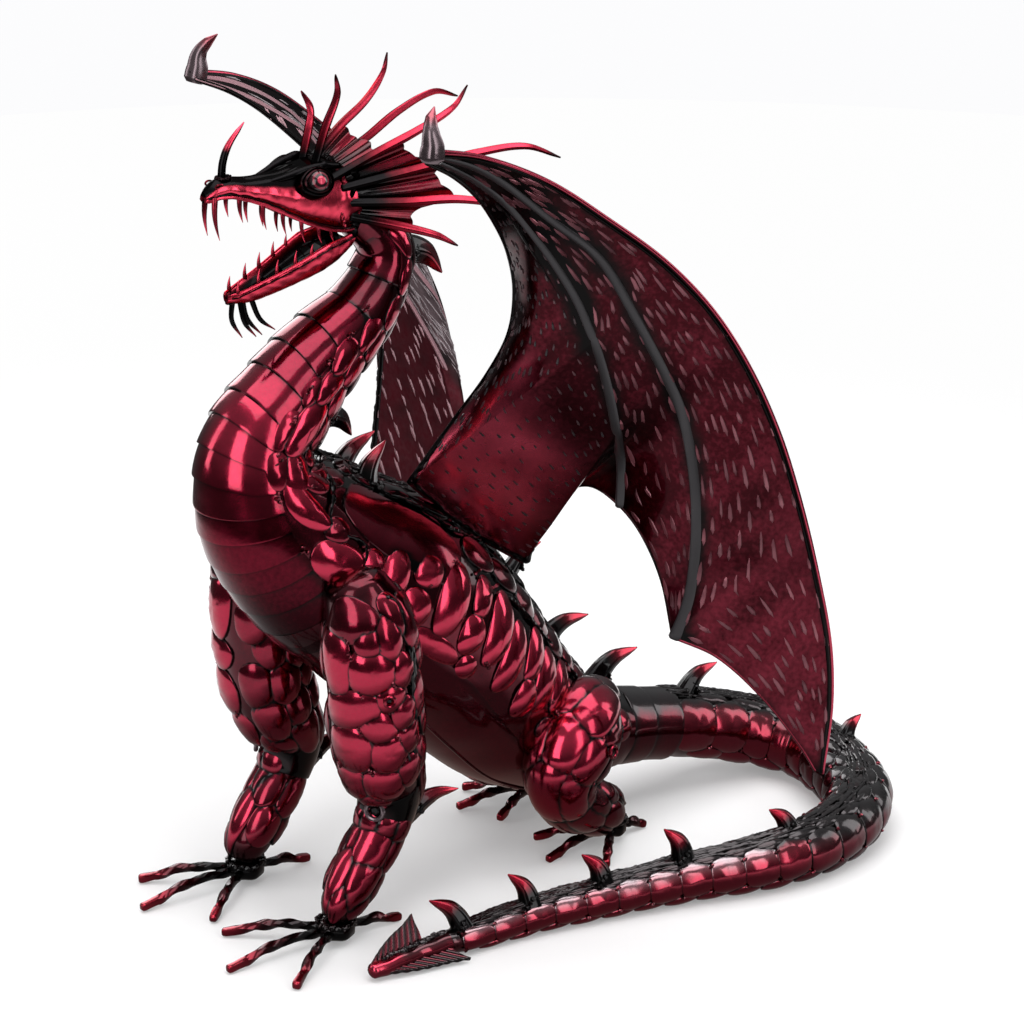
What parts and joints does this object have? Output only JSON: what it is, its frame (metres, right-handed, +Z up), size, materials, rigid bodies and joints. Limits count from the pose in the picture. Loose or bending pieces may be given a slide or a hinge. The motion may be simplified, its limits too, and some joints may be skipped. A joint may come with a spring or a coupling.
{
  "type": "metal dragon statue",
  "caption": "Seated sheet-steel dragon garden statue in red and black lacquer, wings raised, mouth open, spiked tail curled forward along its left side.",
  "frame": {"origin": "centre of the underside of the bounding box, on the ground", "axes": "+Z up, -Y the way the dragon faces, +X the dragon's left"},
  "size_m": [0.588, 0.7784, 0.8438],
  "materials": {
    "red_lacquer": "translucent candy-red gloss lacquer over bright sheet steel, shaded black along seams and ridges",
    "bright_red_lacquer": "bright red gloss lacquer over steel, black at the roots",
    "dark_red_lacquer": "dark maroon gloss lacquer shaded to black at edges and ribs",
    "black_gloss": "black gloss enamel"
  },
  "bodies": {
    "root": {"body": "red_lacquer", "tail": "red_lacquer", "front_leg_left": "red_lacquer", "front_leg_right": "red_lacquer", "rear_leg_left": "red_lacquer", "rear_leg_right": "red_lacquer", "skull": "bright_red_lacquer", "jaw": "bright_red_lacquer", "crest_rod_left_1": "bright_red_lacquer", "crest_rod_left_2": "bright_red_lacquer", "crest_rod_left_3": "bright_red_lacquer", "crest_rod_left_4": "bright_red_lacquer", "crest_rod_left_5": "bright_red_lacquer", "crest_rod_right_1": "bright_red_lacquer", "crest_rod_right_2": "bright_red_lacquer", "crest_rod_right_3": "bright_red_lacquer", "crest_rod_right_4": "bright_red_lacquer", "crest_rod_right_5": "bright_red_lacquer", "wing_left": "dark_red_lacquer", "wing_right": "dark_red_lacquer", "wing_claw_left": "dark_red_lacquer", "wing_claw_right": "dark_red_lacquer", "crest_web_left": "dark_red_lacquer", "crest_web_right": "dark_red_lacquer", "front_foot_left": "dark_red_lacquer", "front_foot_right": "dark_red_lacquer", "rear_foot_left": "dark_red_lacquer", "rear_foot_right": "dark_red_lacquer", "tail_spade": "dark_red_lacquer", "nape_horn": "dark_red_lacquer", "neck_horn": "dark_red_lacquer", "shoulder_horn_left": "dark_red_lacquer", "shoulder_horn_right": "dark_red_lacquer", "back_horn": "dark_red_lacquer", "loin_horn": "dark_red_lacquer", "rump_horn": "dark_red_lacquer", "elbow_horn_left": "dark_red_lacquer", "elbow_horn_right": "dark_red_lacquer", "tail_horn_1": "dark_red_lacquer", "tail_horn_2": "dark_red_lacquer", "tail_horn_3": "dark_red_lacquer", "tail_horn_4": "dark_red_lacquer", "tail_horn_5": "dark_red_lacquer", "tail_horn_6": "dark_red_lacquer", "tail_horn_7": "dark_red_lacquer", "eye_left": "black_gloss", "eye_right": "black_gloss", "nose_horn": "black_gloss", "chin_whisker_1": "black_gloss", "chin_whisker_2": "black_gloss", "chin_whisker_3": "black_gloss", "chin_whisker_4": "black_gloss"}
  },
  "joints": []
}
